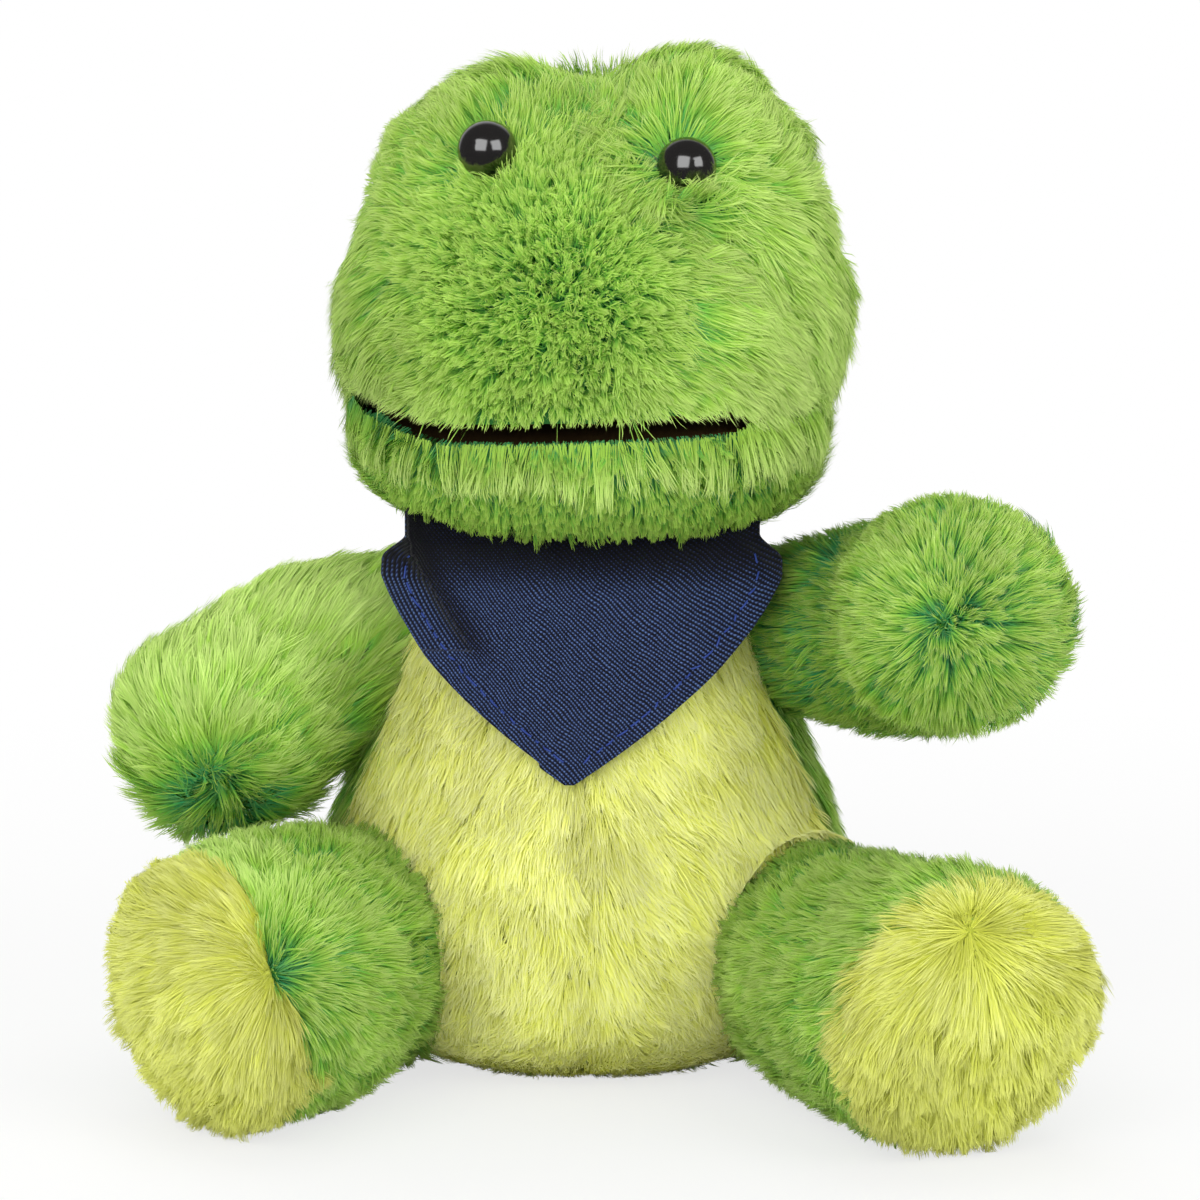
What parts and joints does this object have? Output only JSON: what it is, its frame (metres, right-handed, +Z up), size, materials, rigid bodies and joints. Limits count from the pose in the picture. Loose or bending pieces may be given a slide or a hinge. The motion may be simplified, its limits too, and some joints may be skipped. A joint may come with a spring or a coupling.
{
  "type": "plush frog",
  "caption": "Seated plush frog of long-pile fur with a turning head, swinging arms and legs, a lined mouth and a knitted bandana.",
  "frame": {"origin": "on the surface that the frog sits on, at the middle of the torso's flat seat", "axes": "+Z up, -Y the way the frog faces, +X towards the frog's left side"},
  "size_m": [0.1998, 0.1515, 0.2138],
  "materials": {
    "green_plush": "long-pile polyester fur, tufted",
    "yellow_green_plush": "polyester fur, short on the belly and long on the soles",
    "bandana_knit": "fine polyester knit with a stitched hem",
    "eye_black": "polished",
    "mouth_felt": "brushed felt",
    "washer_white": "as moulded",
    "stuffing_white": "loose polyester fibre"
  },
  "bodies": {
    "torso": {"belly_panel_right": "yellow_green_plush", "belly_panel_left": "yellow_green_plush", "back_panel": "green_plush", "torso_stuffing": "stuffing_white", "bandana": "bandana_knit", "bandana_knot": "bandana_knit"},
    "head": {"head_panel_right": "green_plush", "head_panel_left": "green_plush", "jaw_panel": "green_plush", "mouth_lining": "mouth_felt", "head_stuffing": "stuffing_white", "eye_right": "eye_black", "eye_left": "eye_black", "eye_washer_right": "washer_white", "eye_washer_left": "washer_white"},
    "right_arm": {"right_arm_upper_panel": "green_plush", "right_arm_lower_panel": "green_plush", "right_arm_stuffing": "stuffing_white"},
    "right_leg": {"right_leg_inner_panel": "green_plush", "right_leg_outer_panel": "green_plush", "right_foot_sole": "yellow_green_plush", "right_leg_stuffing": "stuffing_white"},
    "left_arm": {"left_arm_upper_panel": "green_plush", "left_arm_lower_panel": "green_plush", "left_arm_stuffing": "stuffing_white"},
    "left_leg": {"left_leg_inner_panel": "green_plush", "left_leg_outer_panel": "green_plush", "left_foot_sole": "yellow_green_plush", "left_leg_stuffing": "stuffing_white"}
  },
  "joints": [
    {"name": "head_turn", "type": "hinge", "parent": "torso", "child": "head", "pos_m": [0.003, 0, 0.1133], "axis": [0, 0, 1], "range_deg": [-25, 25], "stiffness_Nm_per_rad": 0.06},
    {"name": "right_arm_swing", "type": "hinge", "parent": "torso", "child": "right_arm", "pos_m": [-0.038, 0.001, 0.0925], "axis": [0, 1, 0], "range_deg": [0, 40], "stiffness_Nm_per_rad": 0.12},
    {"name": "left_arm_swing", "type": "hinge", "parent": "torso", "child": "left_arm", "pos_m": [0.038, 0.001, 0.0925], "axis": [0, -1, 0], "range_deg": [-30, 10], "stiffness_Nm_per_rad": 0.12},
    {"name": "right_leg_turn", "type": "hinge", "parent": "torso", "child": "right_leg", "pos_m": [-0.046, -0.017, 0.0275], "axis": [0, 0, -1], "range_deg": [-8, 8], "stiffness_Nm_per_rad": 0.15},
    {"name": "left_leg_turn", "type": "hinge", "parent": "torso", "child": "left_leg", "pos_m": [0.046, -0.017, 0.0275], "axis": [0, 0, 1], "range_deg": [-8, 8], "stiffness_Nm_per_rad": 0.15}
  ]
}
